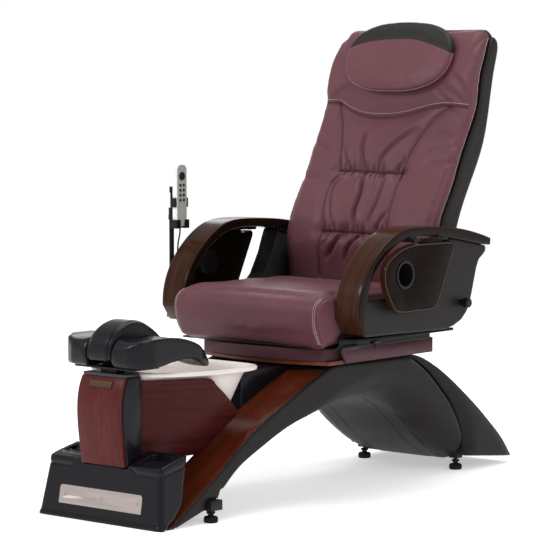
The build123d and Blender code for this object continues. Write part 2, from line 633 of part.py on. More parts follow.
pillow_plane = Plane(origin=(0, FRONT_Y + 1322, 1282), x_dir=(1, 0, 0), z_dir=(0, -0.906, 0.423))
with BuildPart() as head_pillow:
    with BuildSketch(pillow_plane):
        Ellipse(206, 115)
    extrude(amount=-38.5)
    fillet(head_pillow.edges(), radius=12)
save(head_pillow.part, "head_pillow")


# ---------------------------------------------------------------- handset on its mast
MAST_LOW, MAST_HIGH = 492.0, 800.0
with BuildPart() as handset_mast:
    for dy in (-5, 5):
        add(rod((MAST[0], MAST[1] + dy, MAST_LOW), (MAST[0], MAST[1] + dy, MAST_HIGH), 4))
    add(box((-407, -365), (718, 752), (490, 514)))
    add(rod((MAST[0], MAST[1], MAST_HIGH - 14), (MAST[0], MAST[1], MAST_HIGH), 9.8))
save(handset_mast.part, "handset_mast")

GRIP_X, GRIP_Y, GRIP_Z = -385.5, 745.0, 860.0   # back face and centre of the handset
GRIP_THICK = 18.0
with BuildPart() as handset_cradle:
    add(rod((*MAST, MAST_HIGH + 0.5), (*MAST, 884), 4))
    add(rod((*MAST, MAST_HIGH + 0.5), (*MAST, MAST_HIGH + 22), 9))
    add(rod((*MAST, 868), (*MAST, 886), 6.5))
    add(box((-400, GRIP_X - 2), (728, 738), (804, 850)))
    add(box((GRIP_X - 4, GRIP_X - 0.6), (722, 768), (762, 856)))
    add(box((GRIP_X - 4, GRIP_X - 0.6), (717, 773), (824, 852)))
    for y in ((717, 721.8), (768.2, 773)):
        add(box((GRIP_X - 4, GRIP_X + 17), y, (824, 852)))
    add(box((GRIP_X - 4, GRIP_X + 22), (717, 773), (760, 786)))
    add(box((GRIP_X - 0.6, GRIP_X + 18.6), (721.8, 768.2), (765, 800)), mode=Mode.SUBTRACT)
    add(box((GRIP_X - 5, GRIP_X + 24), (735, 755), (755, 790)), mode=Mode.SUBTRACT)
save(handset_cradle.part, "handset_cradle")


def handset_face(x):
    """Plane of the handset's front, seen from the sitter, at x."""
    return Plane(origin=(x, FRONT_Y + GRIP_Y, GRIP_Z), x_dir=(0, 1, 0), z_dir=(1, 0, 0))


with BuildPart() as handset:
    with BuildSketch(handset_face(GRIP_X)):
        RectangleRounded(45, 188, 18)
    extrude(amount=GRIP_THICK)
    fillet(handset.edges().group_by(Axis.X)[-1], radius=3)
    with BuildSketch(handset_face(GRIP_X + GRIP_THICK)):
        with Locations((0, 58)):
            Circle(13)
        with Locations((0, 8)):
            with GridLocations(15, 15, 2, 4):
                Circle(4.6)
    extrude(amount=-3.5, mode=Mode.SUBTRACT)
save(handset.part, "handset")

with BuildPart() as handset_buttons:
    with BuildSketch(handset_face(GRIP_X + GRIP_THICK - 1.9)):
        with Locations((0, 58)):
            Circle(12.5)
            Circle(6, mode=Mode.SUBTRACT)
            Circle(5)
        with Locations((0, 8)):
            with GridLocations(15, 15, 2, 4):
                Circle(4.2)
    extrude(amount=3.4)
save(handset_buttons.part, "handset_buttons")

CORD_R = 2.5
CORD_ROUTE = [(-376, 745, 765.6), (-376.6, 745.4, 742), (-388, 748, 716), (-392, 750, 674),
              (-390.5, 748, 632), (-392, 750, 590), (-391, 747, 552), (-390, 746, 514.2)]
points = [Vector(x, FRONT_Y + y, z) for x, y, z in CORD_ROUTE]
radii = []
for before, here, after in zip(points, points[1:], points[2:]):
    half_turn = radians((here - before).get_angle(after - here) / 2)
    shorter = min((here - before).length, (after - here).length)
    radii.append(0.45 * shorter / tan(half_turn))
print("cord arc radii", [round(radius) for radius in radii])
with BuildPart() as handset_cord:
    with BuildLine() as route:
        FilletPolyline(*points, radius=radii)
    with BuildSketch(Plane(origin=points[0], z_dir=points[1] - points[0])):
        Circle(CORD_R)
    sweep(path=route.wires()[0])
run_length = sum(edge.length for edge in route.edges())
print("cord length", round(run_length), "volume ratio",
      round(handset_cord.part.volume / (run_length * pi * CORD_R ** 2), 3))
save(handset_cord.part, "handset_cord")
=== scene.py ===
"""Visual model of the pedicure spa chair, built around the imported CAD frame, in metres.

+X is the sitter's left, +Y is towards the back of the chair and the floor is Z = 0.
"""

import bmesh
import bpy
import numpy as np
from math import cos, pi, radians, sin
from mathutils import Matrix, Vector
from mathutils.bvhtree import BVHTree


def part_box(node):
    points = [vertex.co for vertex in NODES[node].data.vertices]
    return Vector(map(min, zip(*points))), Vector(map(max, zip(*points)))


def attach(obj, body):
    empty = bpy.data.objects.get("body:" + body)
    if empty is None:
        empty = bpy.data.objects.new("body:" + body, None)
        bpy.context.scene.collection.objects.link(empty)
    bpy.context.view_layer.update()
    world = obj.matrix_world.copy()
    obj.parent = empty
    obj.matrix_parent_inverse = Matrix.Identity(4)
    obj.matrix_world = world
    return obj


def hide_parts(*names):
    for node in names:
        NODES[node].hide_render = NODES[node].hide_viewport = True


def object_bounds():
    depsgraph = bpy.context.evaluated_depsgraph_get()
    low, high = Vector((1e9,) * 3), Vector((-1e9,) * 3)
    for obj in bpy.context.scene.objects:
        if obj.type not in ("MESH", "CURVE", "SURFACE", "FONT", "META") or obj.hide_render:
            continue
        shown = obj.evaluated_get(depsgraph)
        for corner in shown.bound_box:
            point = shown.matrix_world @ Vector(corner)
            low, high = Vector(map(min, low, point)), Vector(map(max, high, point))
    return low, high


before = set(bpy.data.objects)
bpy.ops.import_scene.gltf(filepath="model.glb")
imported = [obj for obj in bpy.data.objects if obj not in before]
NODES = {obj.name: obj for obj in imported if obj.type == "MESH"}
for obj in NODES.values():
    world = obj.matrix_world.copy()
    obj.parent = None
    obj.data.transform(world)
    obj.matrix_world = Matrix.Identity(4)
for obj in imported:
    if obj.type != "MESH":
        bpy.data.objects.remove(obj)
cad_low, cad_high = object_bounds()
scene = bpy.context.scene
MM = 0.001
CAMERA_PLACE, CAMERA_LENS = (4.965, -5.873, 1.265), 167.1
CAMERA_TILT, CAMERA_TURN = 4.812, 40.446      # degrees below level, and round from -Y
FLOOR_HALF, FLOOR_GLOW = 9.0, 0.44
CLOTH_STEPS, CLOTH_INWARD = 20, 0.0015        # length of each simulation, and the most a point sinks
SHARP = radians(32)                           # edges sharper than this are softened or split
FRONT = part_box("kick_base")[0].y      # front edge of the base


# ---------------------------------------------------------------- camera, lights and floor
def add_camera():
    data = bpy.data.cameras.new("camera")
    data.lens = CAMERA_LENS
    data.clip_end = 60
    camera = bpy.data.objects.new("camera", data)
    camera.location = CAMERA_PLACE
    camera.rotation_euler = (radians(90 - CAMERA_TILT), 0, radians(CAMERA_TURN))
    scene.collection.objects.link(camera)
    scene.camera = camera


def add_light(name, place, target, size, power):
    data = bpy.data.lights.new(name, "AREA")
    data.shape = "RECTANGLE"
    data.size, data.size_y = size
    data.energy = power
    lamp = bpy.data.objects.new(name, data)
    lamp.location = place
    lamp.rotation_euler = (Vector(target) - Vector(place)).to_track_quat("-Z", "Y").to_euler()
    scene.collection.objects.link(lamp)


def add_stage():
    scene.view_settings.view_transform = "Standard"
    world = bpy.data.worlds.new("studio")
    world.use_nodes = True
    sky = world.node_tree.nodes["Background"]
    sky.inputs["Color"].default_value = (1, 1, 1, 1)
    direction = world.node_tree.nodes.new("ShaderNodeTexCoord")
    axes = world.node_tree.nodes.new("ShaderNodeSeparateXYZ")
    band = world.node_tree.nodes.new("ShaderNodeMapRange")
    band.interpolation_type = "SMOOTHSTEP"
    for socket, value in (("From Min", 0.14), ("From Max", 0.48), ("To Min", 1.0), ("To Max", 0.58)):
        band.inputs[socket].default_value = value
    world.node_tree.links.new(direction.outputs["Generated"], axes.inputs["Vector"])
    world.node_tree.links.new(axes.outputs["Z"], band.inputs["Value"])
    world.node_tree.links.new(band.outputs["Result"], sky.inputs["Strength"])
    scene.world = world
    middle = (cad_low + cad_high) / 2
    add_light("key", (-1.6, -3.6, 3.4), middle, (1.4, 1.0), 75)
    add_light("fill", (3.8, -1.2, 2.6), middle, (1.2, 1.0), 22)
    add_light("top", (0.2, 0.4, 4.2), middle, (2.4, 2.4), 80)
    add_light("rim", (-2.6, 3.0, 2.6), middle, (1.6, 1.6), 18)
    half = FLOOR_HALF
    mesh = bpy.data.meshes.new("floor")
    mesh.from_pydata([(-half, -half, 0), (half, -half, 0), (half, half, 0), (-half, half, 0)], [],
                     [(0, 1, 2, 3)])
    floor = bpy.data.objects.new("floor", mesh)
    scene.collection.objects.link(floor)
    floor.data.materials.append(flat_floor())


# ---------------------------------------------------------------- node materials
class Shader:
    """A Principled material with short calls for the nodes used below."""

    def __init__(self, name, colour, roughness, metallic=0.0, **sockets):
        self.material = bpy.data.materials.new(name)
        self.material.use_nodes = True
        self.tree = self.material.node_tree
        self.bsdf = self.tree.nodes["Principled BSDF"]
        self.bsdf.inputs["Base Color"].default_value = (*colour, 1)
        self.bsdf.inputs["Roughness"].default_value = roughness
        self.bsdf.inputs["Metallic"].default_value = metallic
        for key, value in sockets.items():
            self.bsdf.inputs[key.replace("_", " ")].default_value = value
        self.place = self.node("ShaderNodeTexCoord").outputs["Object"]
        self.height = None

    def node(self, kind, **settings):
        made = self.tree.nodes.new(kind)
        for key, value in settings.items():
            setattr(made, key, value)
        return made

    def feed(self, socket, value):
        if hasattr(value, "is_output"):
            self.tree.links.new(value, socket)
        else:
            socket.default_value = value

    def stretch(self, scale):
        mapping = self.node("ShaderNodeMapping")
        self.feed(mapping.inputs["Vector"], self.place)
        mapping.inputs["Scale"].default_value = scale
        return mapping.outputs["Vector"]

    def noise(self, scale, detail=3.0, rough=0.55, distortion=0.0):
        made = self.node("ShaderNodeTexNoise")
        self.feed(made.inputs["Vector"], self.stretch(scale if hasattr(scale, "__len__") else (scale,) * 3))
        made.inputs["Scale"].default_value = 1.0
        made.inputs["Detail"].default_value = detail
        made.inputs["Roughness"].default_value = rough
        made.inputs["Distortion"].default_value = distortion
        return made.outputs["Fac"]

    def cells(self, scale):
        made = self.node("ShaderNodeTexVoronoi", feature="DISTANCE_TO_EDGE")
        self.feed(made.inputs["Vector"], self.place)
        made.inputs["Scale"].default_value = scale
        return made.outputs["Distance"]

    def spread(self, value, low, high, out_low=0.0, out_high=1.0):
        made = self.node("ShaderNodeMapRange")
        self.feed(made.inputs["Value"], value)
        made.inputs["From Min"].default_value = low
        made.inputs["From Max"].default_value = high
        made.inputs["To Min"].default_value = out_low
        made.inputs["To Max"].default_value = out_high
        return made.outputs["Result"]

    def mix(self, factor, first, second):
        made = self.node("ShaderNodeMix", data_type="RGBA")
        self.feed(made.inputs[0], factor)
        self.feed(made.inputs[6], (*first, 1) if isinstance(first, tuple) else first)
        self.feed(made.inputs[7], (*second, 1) if isinstance(second, tuple) else second)
        return made.outputs[2]

    def colour(self, value):
        self.feed(self.bsdf.inputs["Base Color"], value)

    def roughness(self, value):
        self.feed(self.bsdf.inputs["Roughness"], value)

    def bump(self, value, distance, strength=1.0):
        made = self.node("ShaderNodeBump")
        self.feed(made.inputs["Height"], value)
        made.inputs["Distance"].default_value = distance
        made.inputs["Strength"].default_value = strength
        if self.height is not None:
            self.feed(made.inputs["Normal"], self.height)
        self.height = made.outputs["Normal"]
        self.feed(self.bsdf.inputs["Normal"], self.height)

    def edge_wear(self, base, worn, amount):
        """Mixes a worn colour in along convex edges."""
        bent = self.spread(self.node("ShaderNodeNewGeometry").outputs["Pointiness"], 0.52, 0.6, 0.0, amount)
        return self.mix(bent, base, worn)


def shade(colour, factor):
    return tuple(channel * factor for channel in colour)


def flat_floor():
    made = Shader("studio_floor", (0.93, 0.93, 0.93), 0.9)
    made.bsdf.inputs["Emission Color"].default_value = (1, 1, 1, 1)
    made.bsdf.inputs["Emission Strength"].default_value = FLOOR_GLOW
    made.roughness(made.spread(made.noise(2.0), 0.3, 0.7, 0.85, 0.95))
    return made.material


def vinyl(name, colour, worn, gloss=0.44, shine=0.18, second=None, mask=None):
    """Upholstery vinyl: pebbled grain, soft creases, slow changes of tone and painted shade darkening the
    seams and creases.
    """
    made = Shader(name, colour, gloss, Specular_IOR_Level=shine)
    tone = made.mix(made.spread(made.noise(5.0, 4), 0.3, 0.7), shade(colour, 0.9), shade(colour, 1.1))
    if second is not None:
        attribute = made.node("ShaderNodeAttribute", attribute_name=mask)
        edge = made.spread(attribute.outputs["Fac"], -0.0005, 0.0005)
        tone = made.mix(edge, tone, second)
    # Painted shade: the point attribute read here darkens the vinyl towards 12 % of its colour in the seams,
    # gathers and creases of the back cushion.
    shadow = made.node("ShaderNodeAttribute", attribute_name="painted_crease_shade")
    tone = made.mix(made.spread(shadow.outputs["Fac"], 0.0, 1.0, 0.0, 0.72), tone, shade(colour, 0.12))
    made.colour(made.edge_wear(tone, worn, 0.35))
    made.roughness(made.spread(made.noise(60.0, 3), 0.3, 0.7, gloss - 0.06, gloss + 0.08))
    made.bump(made.noise(28.0, 3), 0.0009, 0.5)
    made.bump(made.cells(620.0), 0.00025, 0.45)
    return made.material


def moulded(name, colour, roughness=0.38, grain=520.0, shine=0.25):
    """Moulded plastic or skinned foam with a fine spark-eroded grain."""
    made = Shader(name, colour, roughness, Specular_IOR_Level=shine)
    tone = made.mix(made.spread(made.noise(4.0, 3), 0.3, 0.7), shade(colour, 0.88), shade(colour, 1.12))
    made.colour(made.edge_wear(tone, shade(colour, 2.0), 0.12))
    made.roughness(made.spread(made.noise(14.0, 3), 0.3, 0.7, roughness - 0.02, roughness + 0.04))
    made.bump(made.noise(grain, 2), 0.00012, 0.5)
    return made.material


def wood(name, dark, light, grain, gloss=0.16, shine=0.3, contrast=0.55):
    """Stained veneer under lacquer: long streaks, fine pores and a slow figure along the grain."""
    made = Shader(name, light, gloss, Specular_IOR_Level=shine)
    figure = made.noise(tuple(axis * 0.12 for axis in grain), 3, 0.5, 0.6)
    streaks = made.noise(grain, 6, 0.62, 0.15)
    pores = made.noise(tuple(axis * 4.0 for axis in grain), 2, 0.5)
    blend = made.mix(made.spread(figure, 0.32, 0.68), dark, light)
    lines = made.mix(made.spread(streaks, 0.36, 0.64), shade(dark, 0.75), shade(light, 1.1))
    tone = made.mix(contrast, blend, lines)
    tone = made.mix(made.spread(pores, 0.56, 0.72, 0.0, 0.8 * contrast), tone, shade(dark, 0.45))
    made.colour(tone)
    made.roughness(made.spread(streaks, 0.3, 0.7, gloss, gloss + 0.12))
    made.bump(pores, 0.00008, 0.3)
    return made.material


def metal(name, colour, roughness, brushed=None):
    """Plated or brushed metal, with fine lines along one axis where brushed."""
    made = Shader(name, colour, roughness, metallic=1.0)
    lines = made.noise(brushed if brushed else 90.0, 3, 0.6)
    made.colour(made.mix(made.spread(lines, 0.3, 0.7), shade(colour, 0.9), shade(colour, 1.06)))
    made.roughness(made.spread(lines, 0.3, 0.7, max(0.03, roughness - 0.06), roughness + 0.08))
    made.bump(lines, 0.00004, 0.4)
    return made.material


def rubber(name, colour):
    made = Shader(name, colour, 0.7, Specular_IOR_Level=0.2)
    made.colour(made.mix(made.spread(made.noise(12.0, 4), 0.3, 0.7), shade(colour, 0.8), shade(colour, 1.3)))
    made.roughness(made.spread(made.noise(80.0, 3), 0.3, 0.7, 0.6, 0.82))
    made.bump(made.noise(260.0, 3), 0.0002, 0.5)
    return made.material


def glazed(name, colour):
    """Glossy acrylic of the bowl, with a faint marbling."""
    made = Shader(name, colour, 0.2, Specular_IOR_Level=0.4)
    swirl = made.noise(7.0, 5, 0.6, 1.2)
    made.colour(made.mix(made.spread(swirl, 0.35, 0.7), colour, shade(colour, 0.93)))
    made.roughness(made.spread(made.noise(30.0, 3), 0.3, 0.7, 0.16, 0.26))
    made.bump(made.noise(14.0, 2), 0.0004, 0.3)
    return made.material


BURGUNDY = (0.108, 0.040, 0.050)
CHARCOAL = (0.0115, 0.0098, 0.0094)
WORN = (0.21, 0.105, 0.12)


def make_materials():
    return {
        "vinyl": vinyl("burgundy_vinyl", BURGUNDY, WORN),
        # Painted shade: the same burgundy vinyl darkened to 55 %, for the shade under the seat.
        "shaded_skirt_vinyl": vinyl("shaded_skirt_vinyl", shade(BURGUNDY, 0.55), shade(WORN, 0.5), shine=0.1),
        "dark_vinyl": vinyl("charcoal_vinyl", CHARCOAL, (0.04, 0.036, 0.036), gloss=0.42, shine=0.16),
        "pillow_vinyl": vinyl("pillow_vinyl", BURGUNDY, WORN, second=(0.016, 0.0135, 0.013),
                              mask="dark_part"),
        "skin": moulded("moulded_skin", (0.0042, 0.0046, 0.0066), 0.27, shine=0.19),
        "base": moulded("base_plastic", (0.0056, 0.0056, 0.0082), 0.25, shine=0.17),
        "shell": moulded("shell_plastic", (0.0100, 0.0084, 0.0080), 0.42, shine=0.13),
        "plastic": moulded("black_plastic", (0.004, 0.004, 0.0045), 0.4, shine=0.2),
        "cap": moulded("cap_plastic", (0.030, 0.031, 0.034), 0.35),
        "white": moulded("white_plastic", (0.66, 0.66, 0.64), 0.3),
        "grey": moulded("grey_face", (0.30, 0.33, 0.30), 0.4),
        "keys": moulded("key_rubber", (0.010, 0.011, 0.013), 0.5),
        "walnut": wood("dark_walnut", (0.0180, 0.0066, 0.0035), (0.050, 0.0175, 0.0080), (900.0, 9.0, 9.0),
                       gloss=0.14, shine=0.11, contrast=0.24),
        "walnut_side": wood("walnut_side", (0.0052, 0.0022, 0.0016), (0.0130, 0.0052, 0.0034),
                            (9.0, 9.0, 600.0), gloss=0.14, shine=0.10, contrast=0.35),
        "tray": wood("tray_veneer", (0.0040, 0.0019, 0.0015), (0.0085, 0.0036, 0.0028), (9.0, 9.0, 400.0),
                     gloss=0.24, shine=0.05, contrast=0.4),
        # Painted highlight: a light brown line laid round each tray's face for the light on its rounded edge.
        "tray_edge_highlight": moulded("painted_tray_highlight", (0.060, 0.030, 0.020), 0.3),
        "cherry": wood("cherry_veneer", (0.046, 0.0076, 0.0070), (0.104, 0.0165, 0.0150),
                       (520.0, 520.0, 6.0), gloss=0.30, shine=0.12, contrast=0.5),
        "bowl_veneer": wood("bowl_veneer", (0.026, 0.0042, 0.0040), (0.066, 0.0098, 0.0092),
                            (9.0, 9.0, 520.0), gloss=0.30, shine=0.10, contrast=0.4),
        "ramp": wood("ramp_wood", (0.060, 0.0105, 0.0040), (0.112, 0.0195, 0.0064), (260.0, 3.0, 3.0),
                     gloss=0.14, shine=0.3, contrast=0.28),
        "ply": wood("platform_wood", (0.06, 0.014, 0.005), (0.16, 0.042, 0.012), (6.0, 200.0, 200.0),
                    gloss=0.3, shine=0.25, contrast=0.5),
        "bowl": glazed("cream_acrylic", (0.70, 0.63, 0.595)),
        "stainless": metal("brushed_stainless", (0.40, 0.345, 0.33), 0.48, (3.0, 300.0, 300.0)),
        "brass": metal("badge_metal", (0.085, 0.052, 0.030), 0.4, (4.0, 260.0, 260.0)),
        "chrome": metal("chrome", (0.5, 0.5, 0.52), 0.12),
        "steel": moulded("powder_coat", (0.006, 0.006, 0.007), 0.45, 300.0, shine=0.2),
        "rubber": rubber("black_rubber", (0.006, 0.006, 0.006)),
        "thread": rubber("white_thread", (0.50, 0.43, 0.43)),
    }


# ---------------------------------------------------------------- mesh helpers
def add_piece(name, points, faces, body, material):
    """A new piece from points in metres that rides on a body."""
    mesh = bpy.data.meshes.new(name)
    mesh.from_pydata([tuple(p) for p in points], [], faces)
    work = bmesh.new()
    work.from_mesh(mesh)
    bmesh.ops.recalc_face_normals(work, faces=work.faces)
    work.to_mesh(mesh)
    work.free()
    piece = bpy.data.objects.new(name, mesh)
    scene.collection.objects.link(piece)
    dress(piece, material)
    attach(piece, body)
    return piece


def dress(piece, material):
    piece.data.materials.clear()
    piece.data.materials.append(materials[material])
    for face in piece.data.polygons:
        face.use_smooth = True


def settle(piece):
    """Replaces a piece's mesh by its modified one and removes its modifiers."""
    graph = bpy.context.evaluated_depsgraph_get()
    mesh = bpy.data.meshes.new_from_object(piece.evaluated_get(graph))
    piece.modifiers.clear()
    piece.data = mesh


def coordinates(mesh):
    flat = np.zeros(len(mesh.vertices) * 3)
    mesh.vertices.foreach_get("co", flat)
    return flat.reshape(-1, 3)


def normals(mesh):
    flat = np.zeros(len(mesh.vertices) * 3)
    mesh.vertices.foreach_get("normal", flat)
    return flat.reshape(-1, 3)


def put(mesh, points):
    mesh.vertices.foreach_set("co", points.astype(np.float32).ravel())
    mesh.update()


def modify(piece, kind, **settings):
    made = piece.modifiers.new(kind.lower(), kind)
    for key, value in settings.items():
        setattr(made, key, value)
    return made


def soft_copy(node, name, voxel, rounding, shrink=0.0, snap=False):
    """A remeshed copy of a CAD solid with its edges rounded over, laid back on the solid if snapped."""
    piece = bpy.data.objects.new(name, NODES[node].data.copy())
    scene.collection.objects.link(piece)
    modify(piece, "WELD", merge_threshold=0.0001)
    modify(piece, "REMESH", mode="VOXEL", voxel_size=voxel)
    settle(piece)
    if snap:
        modify(piece, "SMOOTH", factor=0.5, iterations=4)
        modify(piece, "SHRINKWRAP", target=NODES[node], wrap_method="NEAREST_SURFACEPOINT")
        settle(piece)
    if shrink:
        put(piece.data, coordinates(piece.data) - shrink * normals(piece.data))
    modify(piece, "SMOOTH", factor=0.5, iterations=rounding)
    settle(piece)
    return piece


def swell(piece, cap, pressure=4.0):
    """Puffs a closed piece up with a short cloth simulation, capping how far each point moves."""
    before = coordinates(piece.data)
    facing = normals(piece.data)
    cloth = piece.modifiers.new("pressure", "CLOTH")
    cloth.settings.use_pressure = True
    cloth.settings.uniform_pressure_force = pressure
    cloth.settings.quality = 4
    cloth.settings.effector_weights.gravity = 0
    cloth.settings.tension_stiffness = 30
    cloth.settings.compression_stiffness = 30
    cloth.settings.bending_stiffness = 2
    cloth.point_cache.frame_start = 1
    cloth.point_cache.frame_end = CLOTH_STEPS
    for step in range(1, CLOTH_STEPS + 1):
        scene.frame_set(step)
    settle(piece)
    scene.frame_set(1)
    move = coordinates(piece.data) - before
    outward = (move * facing).sum(axis=1, keepdims=True)
    move += facing * np.maximum(0.0, -CLOTH_INWARD - outward)
    length = np.linalg.norm(move, axis=1, keepdims=True)
    put(piece.data, before + move * np.minimum(1.0, cap / np.maximum(length, 1e-9)))


def subdivide(piece):
    modify(piece, "SUBSURF", levels=1, render_levels=1)
    settle(piece)


def smooth_line(points, step=0.004):
    """Points spread evenly along a smooth curve through the given ones."""
    points = np.array(points, float)
    padded = np.vstack([2 * points[0] - points[1], points, 2 * points[-1] - points[-2]])
    out = []
    for a, b, c, d in zip(padded, padded[1:], padded[2:], padded[3:]):
        count = max(2, int(np.linalg.norm(c - b) / step))
        for i in range(count):
            t = i / count
            out.append(0.5 * ((2 * b) + (c - a) * t + (2 * a - 5 * b + 4 * c - d) * t * t
                              + (3 * b - a - 3 * c + d) * t ** 3))
    out.append(points[-1])
    return np.array(out)


def distance_to_line(points, line):
    """Distance and place (0 to 1) along a polyline for each point, in any number of dimensions."""
    best = np.full(len(points), 1e9)
    place = np.zeros(len(points))
    steps = len(line) - 1
    for i in range(steps):
        a, b = line[i], line[i + 1]
        ab = b - a
        t = np.clip(((points - a) @ ab) / max(ab @ ab, 1e-12), 0, 1)
        gap = np.linalg.norm(points - a - t[:, None] * ab, axis=1)
        closer = gap < best
        best = np.where(closer, gap, best)
        place = np.where(closer, (i + t) / steps, place)
    return best, place


def groove(distance, width):
    return np.exp(-(distance / width) ** 2)


def stitches(name, body, target, lines, pitch=0.0085, length=0.0062, radius=0.0007, lift=0.0006):
    """Rows of short thread stitches laid on a target's surface along lines of 3-D points."""
    graph = bpy.context.evaluated_depsgraph_get()
    tree = BVHTree.FromObject(target, graph)
    points, faces = [], []
    for line in lines:
        run = smooth_line(line, 0.002)
        lengths = np.concatenate([[0], np.cumsum(np.linalg.norm(np.diff(run, axis=0), axis=1))])
        total = lengths[-1]
        for start in np.arange(0, total - length, pitch):
            ring_start = len(points)
            for part, swelling in ((0.0, 0.45), (0.25, 1.0), (0.75, 1.0), (1.0, 0.45)):
                at = start + part * length
                here = np.array([np.interp(at, lengths, run[:, k]) for k in range(3)])
                ahead = np.array([np.interp(min(total, at + 0.001), lengths, run[:, k]) for k in range(3)])
                spot, normal, _, _ = tree.find_nearest(Vector(here))
                along = Vector(ahead - here)
                if along.length < 1e-7:
                    along = Vector(here - np.array(points[-1])) if len(points) else Vector((0, 0, 1))
                side = along.normalized().cross(normal).normalized()
                centre = spot + normal * (lift if 0 < part < 1 else 0)
                for k in range(6):
                    angle = 2 * pi * k / 6
                    points.append(centre + (side * cos(angle) + normal * sin(angle)) * radius * swelling)
            for ring in range(3):
                for k in range(6):
                    a = ring_start + ring * 6 + k
                    b = ring_start + ring * 6 + (k + 1) % 6
                    faces.append((a, b, b + 6, a + 6))
            faces.append(tuple(range(ring_start + 5, ring_start - 1, -1)))
            faces.append(tuple(range(ring_start + 18, ring_start + 24)))
    add_piece(name, points, faces, body, "thread")


def front_line(target, pairs, step=0.01):
    """3-D line on a target's front from (x, z) pairs in millimetres."""
    tree = BVHTree.FromObject(target, bpy.context.evaluated_depsgraph_get())
    line = []
    for x, z in smooth_line(np.array(pairs, float) * MM, step):
        spot = tree.ray_cast(Vector((x, cad_low.y - 1, z)), Vector((0, 1, 0)))[0]
        if spot is not None:
            line.append(np.array(spot))
    return line


# ---------------------------------------------------------------- CAD nodes that stay
def keep(node, material, bevel=0.0, segments=3):
    """Shows a CAD node with softened edges and a finished material."""
    piece = NODES[node]
    dress(piece, material)
    if bevel:
        modify(piece, "WELD", merge_threshold=0.00005)
        modify(piece, "BEVEL", width=bevel, segments=segments, limit_method="ANGLE",
               angle_limit=SHARP, harden_normals=True)
    else:
        modify(piece, "EDGE_SPLIT", split_angle=SHARP)


def face_material(node, material, test):
    """Gives the faces of a CAD node whose outward direction passes a test another material."""
    piece = NODES[node]
    piece.data.materials.append(materials[material])
    turn = piece.matrix_world.to_3x3()
    for face in piece.data.polygons:
        if test((turn @ face.normal).normalized()):
            face.material_index = 1


def keep_plain_parts():
    keep("kick_plate", "stainless", 0.0006)
    keep("kick_plate_screws", "chrome")
    keep("name_plate", "brass", 0.0004)
    keep("pillar_panel", "cherry", 0.0015)
    keep("pillar_body", "base", 0.003)
    keep("pillar_cap", "cap", 0.003)
    keep("footrest_post", "steel", 0.002)
    keep("bowl_drain", "chrome")
    keep("arch_liner", "shell")
    keep("base_frame", "steel", 0.001)
    keep("pedestal_housing", "base", 0.004)
    keep("platform_board", "ply", 0.002)
    # The apron and skirts use the darkened vinyl: painted shade under the seat.
    keep("platform_apron", "shaded_skirt_vinyl", 0.004)
    keep("slide_rails", "steel")
    keep("power_inlet", "plastic", 0.001)
    keep("seat_frame", "steel", 0.001)
    keep("slide_lever", "plastic", 0.002)
    keep("tray_hinges", "steel")
    keep("massage_carriage", "steel")
    keep("massage_rollers", "rubber", 0.003)
    keep("back_frame", "steel")
    keep("actuator_body", "plastic", 0.003)
    keep("actuator_rod", "chrome")
    keep("handset_mast", "steel")
    keep("handset_cradle", "plastic", 0.001)
    keep("handset", "white", 0.0)
    face_material("handset", "grey", lambda out: out.x > 0.9)
    keep("handset_buttons", "keys", 0.0006)
    for side in ("left", "right"):
        keep(f"ramp_board_{side}", "ramp", 0.002)
        keep(f"platform_skirt_{side}", "shaded_skirt_vinyl", 0.002)
        keep(f"arm_{side}", "walnut", 0.005, 4)
        face_material(f"arm_{side}", "walnut_side", lambda out: abs(out.x) > 0.9)
        keep(f"pivot_knob_{side}", "plastic")
        keep(f"tray_{side}", "tray", 0.003, 3)
        face_material(f"tray_{side}", "walnut", lambda out: abs(out.x) < 0.6)
        keep(f"cup_holder_{side}", "plastic", 0.001)
    for corner in ("front_left", "front_right", "rear_left", "rear_right"):
        keep(f"levelling_foot_{corner}", "rubber", 0.001)


# ---------------------------------------------------------------- cushions
# Seams and creases are (x, z) on the front of the back cushion, in millimetres.
YOKE = [(-288, 1134), (-224, 1134), (-179, 1115), (-118, 1098), (-41, 1094), (33, 1100), (104, 1116),
        (158, 1127), (206, 1130), (248, 1128), (288, 1124)]
CENTRE_LEFT = [(-224, 1132), (-203, 1085), (-178, 1026), (-149, 933), (-160, 870), (-145, 793),
               (-139, 742), (-150, 685), (-158, 600)]
CENTRE_RIGHT = [(206, 1129), (163, 1097), (131, 1051), (111, 993), (102, 940), (100, 878), (107, 812),
                (112, 774), (118, 700), (124, 600)]
GATHERS = [[(-151, 931), (-50, 930), (33, 928), (101, 930)], [(-140, 744), (-32, 744), (68, 743), (113, 742)]]
